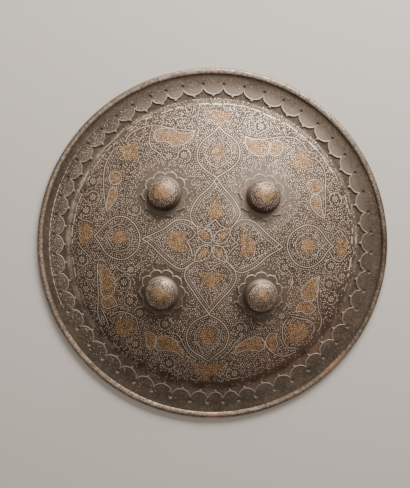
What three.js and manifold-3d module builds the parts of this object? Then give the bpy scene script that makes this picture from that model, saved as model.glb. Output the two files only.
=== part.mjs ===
import * as THREE from 'three';
import { mergeVertices } from 'three/addons/utils/BufferGeometryUtils.js';
import Module from 'manifold-3d';

const wasm = await Module();
wasm.setup();

// Driving dimensions in millimetres and degrees, with the shield lying on its rim and its face up.

// Rim binding folded over the edges of the plate and the border
const shieldDiameter = 460;
const bindingWidth = 8;
const bindingWall = 1.6;
const bindingCorner = 2.2;

// Dished plate: a dome that rolls over a shoulder down to a nearly flat flange
const plateThickness = 1.6;
const domeRise = 48;
const shoulderWidth = 8;
const shoulderDrop = 6;
const shoulderRollOut = 0.5;
const shoulderRollUp = 0.55;
const flangeDrop = 2.2;

// Lappet border laid on the flange, from the binding in to the nibs, which end short of the shoulder
const borderThickness = 1.2;
const borderBandWidth = 18.3;
const lappetDepth = 8.7;
const lappetNib = 2.8;
const lappetNibShare = 0.16;
const nibToShoulder = 1.2;
const lacingHoleDiameter = 2.8;
const lacingHoleSetback = 5.3;

// Lappets as the maker spaced them, counter-clockwise from the right: how many, over how many degrees
const firstTipAngle = 0.3;
const lappetRuns = [
  { count: 14, span: 104.2 },
  { count: 1, span: 4.9 },
  { count: 22, span: 156.1 },
  { count: 3, span: 17.1 },
  { count: 11, span: 77.8 },
];

// Bosses, each one hollow dome with its own shank, clenched inside the plate
const bossCircleRadius = 88.5;
const bossTurn = -1.6;
const bossRadius = 22;
const bossHeight = 19.5;
const bossSkirt = 4.5;
const bossWall = 1.4;
const shankDiameter = 6;
const shankClearance = 0.3;
const clenchFlare = 2.5;
const clenchThickness = 2;

// Lobed washer under each boss
const rosetteThickness = 1.1;
const rosetteMargin = 3.8;
const rosetteLobeDepth = 4.4;
const rosetteNib = 2.2;
const rosetteNibShare = 0.2;
const rosetteLobes = 10;

// Roundness of the lappets and lobes, 0.5 for an ellipse, and where across them the haunch lies
const lobeBulge = 0.55;
const haunchShare = 0.66;

// The four bosses, named as seen from the front, with the angle of one lobe tip from +X
const bossPlaces = [
  { name: 'upper_right', quarter: 0, lobeTurn: -8.4 },
  { name: 'upper_left', quarter: 1, lobeTurn: 0.4 },
  { name: 'lower_left', quarter: 2, lobeTurn: 0.7 },
  { name: 'lower_right', quarter: 3, lobeTurn: 16 },
];

// Gap left between pieces that touch
const seatGap = 0.3;

// Fineness of the facets
const ringFacets = 56;
const domeSteps = 3;
const bossFacets = 18;
const bossSteps = 4;
const bossInnerSteps = 2;
const lacingFacets = 5;
const shankHoleFacets = 10;

const steel = new THREE.MeshStandardMaterial({ color: 0x6b5a4b, roughness: 0.5, metalness: 0.9 });
const borderSteel = new THREE.MeshStandardMaterial({ color: 0x7a6a5a, roughness: 0.45, metalness: 0.9 });
const paleAlloy = new THREE.MeshStandardMaterial({ color: 0x9c8672, roughness: 0.45, metalness: 0.9 });
const bossSteel = new THREE.MeshStandardMaterial({ color: 0x66523f, roughness: 0.35, metalness: 0.9 });

const rimRadius = shieldDiameter / 2;
const radians = THREE.MathUtils.degToRad;

// Radii inside the binding, with room for the flats between facets
const facetRoom = rimRadius * (1 - Math.cos(Math.PI / ringFacets));
const grooveRadius = rimRadius - bindingWall;
const sheetEdgeRadius = grooveRadius - facetRoom - seatGap;
const bindingInnerRadius = rimRadius - bindingWidth;

// Radii of the border and the shoulder, counted in from the binding
const lappetNotchRadius = bindingInnerRadius - borderBandWidth;
const shoulderFootRadius = lappetNotchRadius - lappetDepth - lappetNib - nibToShoulder;
const shoulderTopRadius = shoulderFootRadius - shoulderWidth;

// Heights above the table, worked out from the stack of sheets that the binding holds
const flangeSlope = flangeDrop / (sheetEdgeRadius - shoulderFootRadius);
const mouthLift = flangeSlope * (sheetEdgeRadius - bindingInnerRadius);
const grooveHeight = plateThickness + borderThickness + 3 * seatGap + mouthLift;
const bindingHeight = grooveHeight + 2 * bindingWall;
const plateEdgeTop = bindingWall + seatGap + plateThickness;
const shoulderFootTop = plateEdgeTop + flangeDrop;
const shoulderTopHeight = shoulderFootTop + shoulderDrop;
const apexHeight = shoulderTopHeight + domeRise;
const domeRadius = (shoulderTopRadius ** 2 + domeRise ** 2) / (2 * domeRise);
const domeCentreHeight = apexHeight - domeRadius;

// Turns a geometry into a closed solid with shared corners and no empty triangles
function solidFrom(geometry) {
  const bare = geometry.clone();
  bare.deleteAttribute('normal');
  bare.deleteAttribute('uv');
  const merged = mergeVertices(bare, 1e-4);
  const corners = merged.getIndex().array;
  const kept = [];
  for (let i = 0; i < corners.length; i += 3) {
    const [a, b, c] = [corners[i], corners[i + 1], corners[i + 2]];
    if (a !== b && b !== c && c !== a) kept.push(a, b, c);
  }
  return new wasm.Manifold(new wasm.Mesh({
    numProp: 3,
    vertProperties: new Float32Array(merged.getAttribute('position').array),
    triVerts: new Uint32Array(kept),
  }));
}

function geometryFrom(solid) {
  const mesh = solid.getMesh();
  const geometry = new THREE.BufferGeometry();
  geometry.setAttribute('position', new THREE.BufferAttribute(mesh.vertProperties, 3));
  geometry.setIndex(new THREE.BufferAttribute(mesh.triVerts, 1));
  geometry.computeVertexNormals();
  return geometry;
}

function named(name, geometry, material) {
  const mesh = new THREE.Mesh(geometry, material);
  mesh.name = name;
  return mesh;
}

// A turned solid round +Z, from [radius, height] pairs that run counter-clockwise as drawn on paper
function turned(profile, facets) {
  const points = profile.map(([radius, height]) => new THREE.Vector2(radius, height));
  const geometry = new THREE.LatheGeometry(points, facets);
  geometry.rotateX(Math.PI / 2);
  return geometry;
}

// Height of the plate's outer face at a radius from the axis
function domeTopAt(radius) {
  return domeCentreHeight + Math.sqrt(domeRadius ** 2 - radius ** 2);
}

function flangeTopAt(radius) {
  return plateEdgeTop + flangeSlope * (sheetEdgeRadius - radius);
}

// Slope angle of the plate's outer face where the shoulder leaves the dome
const shoulderSlope = Math.asin(shoulderTopRadius / domeRadius);

// Radii of the dome's rows of facets, from the axis to a last radius, with one row under the bosses
function domeRows(last) {
  const rows = [];
  for (let i = 0; i < domeSteps; i += 1) rows.push((bossCircleRadius * i) / domeSteps);
  for (let i = 0; i <= domeSteps; i += 1) {
    rows.push(bossCircleRadius + ((last - bossCircleRadius) * i) / domeSteps);
  }
  return rows;
}

// How far a flat between two rows lies inside the true dome
const rowSpan = (shoulderTopRadius - bossCircleRadius) / domeSteps;
const flatSag = rowSpan ** 2 / (8 * domeRadius);

// The plate's outer face from the edge to the apex
function outerFace() {
  const face = [
    [sheetEdgeRadius, plateEdgeTop],
    [shoulderFootRadius, shoulderFootTop],
    [shoulderTopRadius + shoulderWidth * shoulderRollOut, shoulderFootTop + shoulderDrop * shoulderRollUp],
  ];
  for (const radius of domeRows(shoulderTopRadius).reverse()) face.push([radius, domeTopAt(radius)]);
  return face;
}

// The inner face follows the outer one at the plate's thickness, from the axis to the edge
function innerFace() {
  const inset = plateThickness * Math.tan(shoulderSlope);
  const innerDome = domeRadius - plateThickness;
  const face = [];
  for (const radius of domeRows(shoulderTopRadius - inset)) {
    face.push([radius, domeCentreHeight + Math.sqrt(innerDome ** 2 - radius ** 2)]);
  }
  face.push([shoulderFootRadius - inset, shoulderFootTop - plateThickness]);
  face.push([sheetEdgeRadius, plateEdgeTop - plateThickness]);
  return face;
}

// Middle angles of the lappets and the angles of the notches between them, all in radians
function lappetAngles() {
  const whole = lappetRuns.reduce((sum, run) => sum + run.span, 0);
  const tips = [];
  let angle = firstTipAngle;
  for (const run of lappetRuns) {
    const step = (run.span / whole) * (360 / run.count);
    for (let i = 0; i < run.count; i += 1) {
      tips.push(radians(angle));
      angle += step;
    }
  }
  const notches = tips.map((tip, i) => {
    const next = i + 1 < tips.length ? tips[i + 1] : tips[0] + 2 * Math.PI;
    return (tip + next) / 2;
  });
  return { tips, notches };
}

// How far a lobe stands out at a share across it, from -1 at one notch over 0 at the tip to 1
function lobeReach(share, depth, nib, nibShare) {
  const across = Math.abs(share);
  const round = depth * (1 - across ** 2) ** lobeBulge;
  const point = across < nibShare ? nib * (1 - across / nibShare) : 0;
  return round + point;
}

// Shares across a lobe where its faceted outline has points: one half from the notch, one from the tip
function lobeShares(nibShare) {
  return [-1, -haunchShare, -nibShare, 0, nibShare, haunchShare];
}
const pointsPerHalfLobe = lobeShares(0).length / 2;

// A closed sheet between a lobed outline, [angle, radius] for each point, and a plain round edge
// that has one point for each half lobe
function lobedSheet(outline, plainRadius, topAt, bottomAt) {
  const corners = [];
  const faces = [];
  const place = (angle, radius) => {
    const [x, y] = [radius * Math.cos(angle), radius * Math.sin(angle)];
    corners.push(x, y, topAt(radius), x, y, bottomAt(radius));
  };
  for (const [angle, radius] of outline) place(angle, radius);
  const halves = outline.length / pointsPerHalfLobe;
  for (let half = 0; half < halves; half += 1) place(outline[half * pointsPerHalfLobe][0], plainRadius);
  const lobed = (i) => 2 * (i % outline.length);
  const plain = (half) => 2 * (outline.length + (half % halves));
  const both = (a, b, c) => faces.push(a, b, c, a + 1, c + 1, b + 1);
  const wall = (a, b) => faces.push(a, b, b + 1, a, b + 1, a + 1);
  for (let half = 0; half < halves; half += 1) {
    const first = half * pointsPerHalfLobe;
    for (let i = first; i < first + pointsPerHalfLobe; i += 1) {
      both(plain(half), lobed(i + 1), lobed(i));
      wall(lobed(i), lobed(i + 1));
    }
    both(plain(half), plain(half + 1), lobed(first + pointsPerHalfLobe));
    wall(plain(half + 1), plain(half));
  }
  const outwards = plainRadius > outline[0][1] ? faces : faces.reverse();
  const geometry = new THREE.BufferGeometry();
  geometry.setAttribute('position', new THREE.BufferAttribute(new Float32Array(corners), 3));
  geometry.setIndex(outwards);
  return geometry;
}

// Round cutters for the lacing holes, standing on +Z at the notches
function lacingCutters(notches) {
  const reach = 2 * apexHeight;
  const radius = lacingHoleDiameter / 2;
  const ring = lappetNotchRadius + lacingHoleSetback;
  return notches.map((angle) => {
    const cutter = new THREE.CylinderGeometry(radius, radius, reach, lacingFacets);
    cutter.rotateX(Math.PI / 2);
    cutter.rotateZ(angle);
    cutter.translate(ring * Math.cos(angle), ring * Math.sin(angle), 0);
    return solidFrom(cutter);
  });
}

function seatAngle(quarter) {
  return radians(45 + bossTurn + 90 * quarter);
}

// Where a boss stands: a group whose +Z leaves the dome squarely
function bossSeat(quarter) {
  const angle = seatAngle(quarter);
  const seat = new THREE.Group();
  const lean = Math.asin(bossCircleRadius / domeRadius);
  seat.position.set(
    bossCircleRadius * Math.cos(angle),
    bossCircleRadius * Math.sin(angle),
    domeTopAt(bossCircleRadius),
  );
  seat.rotation.set(0, lean, angle, 'ZYX');
  seat.updateMatrixWorld();
  return seat;
}

// Drop of the dome below a boss seat's own plane
function seatDrop(radius) {
  return domeRadius - Math.sqrt(domeRadius ** 2 - radius ** 2);
}

function makePlate(notches) {
  let plate = solidFrom(turned([...innerFace(), ...outerFace()], ringFacets));
  const reach = 4 * plateThickness;
  const radius = shankDiameter / 2 + shankClearance;
  for (const { quarter } of bossPlaces) {
    const cutter = new THREE.CylinderGeometry(radius, radius, 2 * reach, shankHoleFacets);
    cutter.rotateX(Math.PI / 2);
    cutter.applyMatrix4(bossSeat(quarter).matrixWorld);
    plate = plate.subtract(solidFrom(cutter));
  }
  for (const cutter of lacingCutters(notches)) plate = plate.subtract(cutter);
  return named('dome_plate', geometryFrom(plate), steel);
}

function makeBorder(tips, notches) {
  const outline = [];
  tips.forEach((tip, i) => {
    const before = i === 0 ? notches[notches.length - 1] - 2 * Math.PI : notches[i - 1];
    const after = notches[i];
    for (const share of lobeShares(lappetNibShare)) {
      const angle = share < 0 ? tip + (tip - before) * share : tip + (after - tip) * share;
      const reach = lobeReach(share, lappetDepth, lappetNib, lappetNibShare);
      outline.push([angle, lappetNotchRadius - reach]);
    }
  });
  const topAt = (radius) => flangeTopAt(radius) + seatGap + borderThickness;
  const bottomAt = (radius) => flangeTopAt(radius) + seatGap;
  let border = solidFrom(lobedSheet(outline, sheetEdgeRadius, topAt, bottomAt));
  for (const cutter of lacingCutters(notches)) border = border.subtract(cutter);
  return named('lappet_border', geometryFrom(border), borderSteel);
}

// The binding is a strip folded over the edges, open towards the middle, with a flat underside
function makeBinding() {
  const grooveFloor = bindingWall;
  const grooveTop = bindingHeight - bindingWall;
  const profile = [
    [bindingInnerRadius, grooveFloor],
    [bindingInnerRadius + bindingCorner, 0],
    [rimRadius - bindingCorner, 0],
    [rimRadius, bindingCorner],
    [rimRadius, bindingHeight - bindingCorner],
    [rimRadius - bindingCorner, bindingHeight],
    [bindingInnerRadius + bindingCorner, bindingHeight],
    [bindingInnerRadius, grooveTop],
    [grooveRadius, grooveTop],
    [grooveRadius, grooveFloor],
    [bindingInnerRadius, grooveFloor],
  ];
  return named('rim_binding', geometryFrom(solidFrom(turned(profile, ringFacets))), paleAlloy);
}

function makeRosette(place) {
  const outline = [];
  const pitch = (2 * Math.PI) / rosetteLobes;
  const hole = shankDiameter / 2 + shankClearance;
  const firstTip = radians(place.lobeTurn) - seatAngle(place.quarter);
  for (let lobe = 0; lobe < rosetteLobes; lobe += 1) {
    for (const share of lobeShares(rosetteNibShare)) {
      const angle = firstTip + pitch * (lobe + share / 2);
      const reach = lobeReach(share, rosetteLobeDepth, rosetteNib, rosetteNibShare);
      outline.push([angle, bossRadius + rosetteMargin + reach]);
    }
  }
  const bottomAt = (radius) => seatGap - seatDrop(radius);
  const topAt = (radius) => bottomAt(radius) + rosetteThickness;
  const rosette = solidFrom(lobedSheet(outline, hole, topAt, bottomAt));
  return named(`rosette_${place.name}`, geometryFrom(rosette), borderSteel);
}

// Outline of a boss from foot to apex: a short upright skirt and an elliptic dome above it
function bossCurve(radius, foot, top, steps) {
  const curve = [];
  const spring = foot + bossSkirt;
  for (let i = 0; i < steps; i += 1) {
    const turn = (Math.PI / 2) * (i / steps);
    curve.push([radius * Math.cos(turn), spring + (top - spring) * Math.sin(turn)]);
  }
  return curve;
}

function makeBoss(place) {
  const foot = (radius) => rosetteThickness + 2 * seatGap - seatDrop(radius);
  const innerRadius = bossRadius - bossWall;
  const top = rosetteThickness + bossHeight;
  const shank = shankDiameter / 2;
  const plateBack = -(plateThickness + seatGap + flatSag);
  const clench = shank + clenchFlare;
  const profile = [
    [0, plateBack - clenchThickness],
    [clench, plateBack - clenchThickness],
    [clench, plateBack],
    [shank, plateBack],
    [shank, top - bossWall],
    ...bossCurve(innerRadius, foot(innerRadius), top - bossWall, bossInnerSteps).reverse(),
    [innerRadius, foot(innerRadius)],
    [bossRadius, foot(bossRadius)],
    ...bossCurve(bossRadius, foot(bossRadius), top, bossSteps),
    [0, top],
  ];
  return named(`boss_${place.name}`, geometryFrom(solidFrom(turned(profile, bossFacets))), bossSteel);
}

const group = new THREE.Group();
const { tips, notches } = lappetAngles();
group.add(makePlate(notches), makeBorder(tips, notches), makeBinding());
for (const place of bossPlaces) {
  const seat = bossSeat(place.quarter);
  seat.add(makeRosette(place), makeBoss(place));
  group.add(seat);
}

export default group;
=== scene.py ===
import math
import random

import bpy
import numpy as np
from mathutils import Matrix, Vector, kdtree


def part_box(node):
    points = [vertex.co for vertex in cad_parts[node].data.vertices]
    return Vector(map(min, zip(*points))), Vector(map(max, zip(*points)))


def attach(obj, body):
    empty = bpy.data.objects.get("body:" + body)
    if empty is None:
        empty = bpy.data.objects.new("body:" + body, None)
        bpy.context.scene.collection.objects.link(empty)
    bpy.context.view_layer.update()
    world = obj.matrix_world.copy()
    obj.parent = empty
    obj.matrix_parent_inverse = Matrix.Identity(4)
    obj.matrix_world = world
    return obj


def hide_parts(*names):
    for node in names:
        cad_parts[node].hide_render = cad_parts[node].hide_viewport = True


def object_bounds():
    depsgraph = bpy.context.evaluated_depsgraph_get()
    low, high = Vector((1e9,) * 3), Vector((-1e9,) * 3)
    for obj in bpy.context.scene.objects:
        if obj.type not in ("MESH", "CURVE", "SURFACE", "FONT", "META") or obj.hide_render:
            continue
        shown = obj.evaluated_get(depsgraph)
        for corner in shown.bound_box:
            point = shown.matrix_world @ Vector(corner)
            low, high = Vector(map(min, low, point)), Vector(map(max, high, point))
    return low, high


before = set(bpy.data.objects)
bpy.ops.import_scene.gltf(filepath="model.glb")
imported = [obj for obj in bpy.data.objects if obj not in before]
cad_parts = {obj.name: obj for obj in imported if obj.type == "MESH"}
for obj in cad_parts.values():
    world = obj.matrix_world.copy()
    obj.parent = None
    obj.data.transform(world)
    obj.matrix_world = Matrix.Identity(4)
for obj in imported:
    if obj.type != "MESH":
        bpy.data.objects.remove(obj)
cad_box = [list(map(float, corner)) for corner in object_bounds()]

# Sizes in millimetres, read from model.glb where it has them
MM = 0.001
rim_radius = cad_box[1][0] / MM
binding_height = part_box("rim_binding")[1].z / MM
apex_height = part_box("dome_plate")[1].z / MM
sheet_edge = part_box("dome_plate")[1].x / MM

binding_width = 8.0
plate_wall = 1.6
dome_rise = 48.0
shoulder_width = 8.0
shoulder_drop = 6.0
shoulder_roll = 5.5
flange_drop = 2.2
border_wall = 1.2
band_width = 18.3
lappet_depth = 8.7
lappet_nib = 2.8
lappet_nib_share = 0.16
nib_to_shoulder = 1.2
lacing_radius = 1.4
lacing_mouth = 2.5
lacing_setback = 5.3
seat_gap = 0.3
lobe_bulge = 0.55

boss_circle = 88.5
boss_turn = -1.6
boss_radius = 22.0
boss_height = 19.5
boss_skirt = 4.5
boss_wall = 1.4
cap_radius = 19.4
cap_groove = 0.35
shank_radius = 3.0
clench_radius = 5.5
clench_thick = 2.0
clench_gap = 0.3
washer_wall = 1.1
washer_margin = 3.8
washer_depth = 4.4
washer_nib = 2.2
washer_nib_share = 0.2
washer_lobes = 10

# Where the painted shadow beside the binding lies, and where the silver line of the border runs
binding_shadow_ring = 220.8
border_line_radius = 214.0

# Steps and columns of the meshes
path_step = 1.3
points_per_lobe = 24
plate_columns, binding_columns, boss_columns, shank_columns, drill_columns = 256, 320, 64, 32, 16

# Where the ends of the binding's strips meet, in degrees counter-clockwise from the right
joint_marks = (106.4, 26.9)

# Lappets counter-clockwise from the right: how many, over how many degrees
first_tip = 0.3
lappet_runs = [(14, 104.2), (1, 4.9), (22, 156.1), (3, 17.1), (11, 77.8)]

# Bosses: quarter turn from the upper right, and the angle of one lobe tip from +X
boss_places = {
    "upper_right": (0, -8.4),
    "upper_left": (1, 0.4),
    "lower_left": (2, 0.7),
    "lower_right": (3, 16.0),
}

# How far the silver and the brown are worn off round each boss; the same numbers lighten the steel there with wear
# and a painted highlight, most at the upper right
boss_wear_and_sheen = {"upper_right": 0.24, "upper_left": 0.13, "lower_left": 0.04, "lower_right": 0.08}

# Worked out from the sizes above
binding_inner = rim_radius - binding_width
notch_radius = binding_inner - band_width
shoulder_foot = notch_radius - lappet_depth - lappet_nib - nib_to_shoulder
shoulder_top = shoulder_foot - shoulder_width
dome_radius = (shoulder_top ** 2 + dome_rise ** 2) / (2 * dome_rise)
dome_centre = apex_height - dome_radius
flange_slope = flange_drop / (sheet_edge - shoulder_foot)
dome_slope = shoulder_top / math.sqrt(dome_radius ** 2 - shoulder_top ** 2)
steepest = (2 * shoulder_drop - shoulder_roll * dome_slope
            - (shoulder_width - shoulder_roll) * flange_slope) / shoulder_width
lacing_ring = notch_radius + lacing_setback
washer_reach = boss_radius + washer_margin + washer_depth

# Camera: it looks straight down on the lying shield, a little from its upper end
picture_width, picture_height = 410, 488
sensor = 36.0
lens = 89.6
eye = Vector((-9.6, 46.0, 1600.0)) * MM
aim = Vector((-9.6, -0.7, 0.0)) * MM


def put_in_scene(name, data):
    piece = bpy.data.objects.new(name, data)
    bpy.context.scene.collection.objects.link(piece)
    return piece


def make_camera():
    data = bpy.data.cameras.new("camera")
    data.lens, data.sensor_width = lens, sensor
    camera = put_in_scene("camera", data)
    camera.location = eye
    camera.rotation_euler = (-math.atan2(eye.y - aim.y, eye.z), 0, 0)
    bpy.context.scene.camera = camera
    return np.array(camera.rotation_euler.to_matrix())


eye_turn = make_camera()
eye_mm = np.array(eye) / MM
pixels_per_slope = lens / sensor * picture_height


# Heights of the plate's outer face
def plate_top(radius):
    radius = np.asarray(radius, float)
    dome = dome_centre + np.sqrt(dome_radius ** 2 - np.minimum(radius, shoulder_top) ** 2)
    roll = np.clip(radius - shoulder_top, 0, shoulder_roll)
    foot = np.clip(radius - shoulder_top - shoulder_roll, 0, shoulder_width - shoulder_roll)
    flat = np.maximum(radius - shoulder_foot, 0)
    drop = dome_slope * roll + (steepest - dome_slope) * roll ** 2 / (2 * shoulder_roll)
    drop += steepest * foot
    drop += (flange_slope - steepest) * foot ** 2 / (2 * (shoulder_width - shoulder_roll))
    return dome - drop - flange_slope * flat


def hand_work(x, y):
    """Shallow unevenness that the hammer left, in millimetres."""
    long_wave = np.sin(x / 21 + 1.4 * np.sin(y / 33)) * np.cos(y / 26 + 1.1 * np.sin(x / 29))
    short_wave = np.sin(x / 9.5 + y / 14 + 2) * np.sin(y / 8.5 - x / 17)
    return 0.14 * long_wave + 0.03 * short_wave


def dome_point(x, y, above=0.0):
    """Plan places in millimetres lifted on to the plate's outer face."""
    x, y = np.asarray(x, float), np.asarray(y, float)
    z = plate_top(np.hypot(x, y)) + hand_work(x, y) + above
    return np.stack([x, y, z], axis=-1)


def boss_top(radius):
    """Height of a boss's outer face above its seat."""
    foot = washer_wall + 2 * seat_gap - (dome_radius - math.sqrt(dome_radius ** 2 - boss_radius ** 2))
    spring = foot + boss_skirt
    share = np.clip(np.asarray(radius, float) / boss_radius, 0, 1)
    return spring + (washer_wall + boss_height - spring) * np.sqrt(1 - share ** 2)


def seat_angle(quarter):
    return math.radians(45 + boss_turn + 90 * quarter)


def seat_matrix(quarter):
    """The turned place of a boss, in millimetres."""
    angle, lean = seat_angle(quarter), math.asin(boss_circle / dome_radius)
    x, y = boss_circle * math.cos(angle), boss_circle * math.sin(angle)
    place = Matrix.Translation((x, y, float(plate_top(boss_circle))))
    return place @ Matrix.Rotation(angle, 4, "Z") @ Matrix.Rotation(lean, 4, "Y")


seats = {name: seat_matrix(quarter) for name, (quarter, _) in boss_places.items()}


def sight_line(spots):
    """Directions from the camera through places in the picture."""
    spots = np.atleast_2d(np.asarray(spots, float))
    across = (spots[:, 0] - picture_width / 2) / pixels_per_slope
    up = (picture_height / 2 - spots[:, 1]) / pixels_per_slope
    return np.stack([across, up, -np.ones(len(spots))], axis=1) @ eye_turn.T


def seen_on(start, directions, height_at):
    """Plan places where sight lines meet a face given by its height at a radius."""
    height = np.full(len(directions), float(height_at(0)))
    for _ in range(12):
        reach = (height - start[2]) / directions[:, 2]
        plan = start[:2] + directions[:, :2] * reach[:, None]
        height = height_at(np.hypot(plan[:, 0], plan[:, 1]))
    return plan


def on_dome(spots):
    return seen_on(eye_mm, sight_line(spots), plate_top)


def on_boss(spots, name):
    back = np.array(seats[name].inverted())
    start = back[:3, :3] @ eye_mm + back[:3, 3]
    return seen_on(start, sight_line(spots) @ back[:3, :3].T, boss_top)


# Paths in plan, in millimetres
def around(radius, turns):
    """Plan places round the middle, at angles."""
    return np.stack([radius * np.cos(turns), radius * np.sin(turns)], axis=-1)


def smooth_path(points, closed=False, step=path_step):
    """A smooth curve through chosen points, in even steps."""
    points = np.asarray(points, float)
    if closed:
        before, after = points[-1:], points[:2]
    else:
        before, after = 2 * points[:1] - points[1:2], 2 * points[-1:] - points[-2:-1]
    padded = np.vstack([before, points, after])
    t = np.linspace(0, 1, 12, endpoint=False)[:, None]
    parts = [0.5 * (2 * b + (c - a) * t + (2 * a - 5 * b + 4 * c - d) * t ** 2 + (3 * b - a - 3 * c + d) * t ** 3)
             for a, b, c, d in zip(padded, padded[1:], padded[2:], padded[3:])]
    parts.append(points[:1] if closed else points[-1:])
    return even_steps(np.vstack(parts), step)


def even_steps(path, step):
    lengths = np.r_[0, np.cumsum(np.hypot(*np.diff(path, axis=0).T))]
    count = max(2, int(round(lengths[-1] / step)) + 1)
    at = np.linspace(0, lengths[-1], count)
    return np.stack([np.interp(at, lengths, path[:, 0]), np.interp(at, lengths, path[:, 1])], axis=1)


def sides_of(path):
    """Unit vectors to the left of a path, for each of its points."""
    ahead = np.gradient(path, axis=0)
    ahead /= np.maximum(np.hypot(ahead[:, 0], ahead[:, 1]), 1e-9)[:, None]
    return np.stack([-ahead[:, 1], ahead[:, 0]], axis=1)


def runs_beside(path, distance):
    """Pieces of the curve beside a path, without the loops at its corners."""
    moved = path + sides_of(path) * distance
    gap = np.hypot(moved[:, None, 0] - path[None, :, 0], moved[:, None, 1] - path[None, :, 1]).min(axis=1)
    good = gap > 0.93 * abs(distance)
    breaks = np.flatnonzero(np.diff(good)) + 1
    runs = zip(np.split(moved, breaks), np.split(good, breaks))
    return [even_steps(run, path_step) for run, keep in runs if keep[0] and len(run) > 3]


def is_inside(polygon, x, y):
    inside = np.zeros(np.shape(x), bool)
    for (ax, ay), (bx, by) in zip(polygon, np.roll(polygon, -1, axis=0)):
        crosses = (ay > y) != (by > y)
        rise = by - ay if by != ay else 1e-9
        inside ^= crosses & (x < (bx - ax) * (y - ay) / rise + ax)
    return inside


class Chart:
    """A plan of what is taken and of where the gold ground is, in small squares."""
    square = 0.4

    def __init__(self, reach):
        self.reach = reach
        axis = np.arange(int(2 * reach / self.square) + 1) * self.square - reach
        self.x, self.y = np.meshgrid(axis, axis, indexing="ij")
        self.taken = np.zeros(self.x.shape, bool)
        self.gold = np.zeros(self.x.shape, bool)

    def index(self, value):
        square = ((np.asarray(value) + self.reach) / self.square).round().astype(int)
        return np.clip(square, 0, len(self.taken) - 1)

    def window(self, low, high):
        (first, left), (last, right) = self.index(low), self.index(high)
        return slice(first, last + 1), slice(left, right + 1)

    def take_disc(self, x, y, radius):
        spot = self.window((x - radius, y - radius), (x + radius, y + radius))
        self.taken[spot] |= np.hypot(self.x[spot] - x, self.y[spot] - y) < radius

    def take_path(self, path, radius):
        for x, y in even_steps(path, 0.8):
            self.take_disc(x, y, radius)

    def mark_gold(self, polygon):
        spot = self.window(polygon.min(axis=0), polygon.max(axis=0))
        self.gold[spot] |= is_inside(polygon, self.x[spot], self.y[spot])

    def is_taken(self, x, y):
        return self.taken[self.index(x), self.index(y)]

    def is_gold(self, x, y):
        return self.gold[self.index(x), self.index(y)]


# Small low shapes in plan, each given by its corners, their heights and its faces
def fan(corners):
    """A shape with its last corner raised."""
    count = len(corners) - 1
    top = [(i, (i + 1) % count, count) for i in range(count)]
    return np.array(corners), np.r_[np.zeros(count), 1], top + [tuple(reversed(range(count)))]


def strip(middle, widths):
    """A strip with a ridge along its middle."""
    side = sides_of(middle) * np.broadcast_to(widths, len(middle))[:, None] / 2
    corners = np.stack([middle - side, middle + side, middle], axis=1).reshape(-1, 2)
    last = 3 * (len(middle) - 1)
    faces = []
    for a in range(0, last, 3):
        b = a + 3
        faces += [(a, b, b + 2, a + 2), (a + 2, b + 2, b + 1, a + 1), (a + 1, b + 1, b, a)]
    faces += [(0, 2, 1), (last, last + 1, last + 2)]
    return corners, np.tile([0.0, 0.0, 1.0], len(middle)), faces


dot = fan(np.vstack([0.5 * around(1, np.arange(6) * math.pi / 3), [[0, 0]]]))
leaf = fan([(-0.5, 0), (-0.15, -0.3), (0.25, -0.26), (0.5, 0.1), (0.15, 0.2), (-0.2, 0.22), (0.0, -0.03)])
tendril_steps = np.linspace(0, 1, 4)
tendril = strip(np.stack([tendril_steps, 0.24 * 4 * tendril_steps * (1 - tendril_steps)], axis=1), 0.1)


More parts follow.
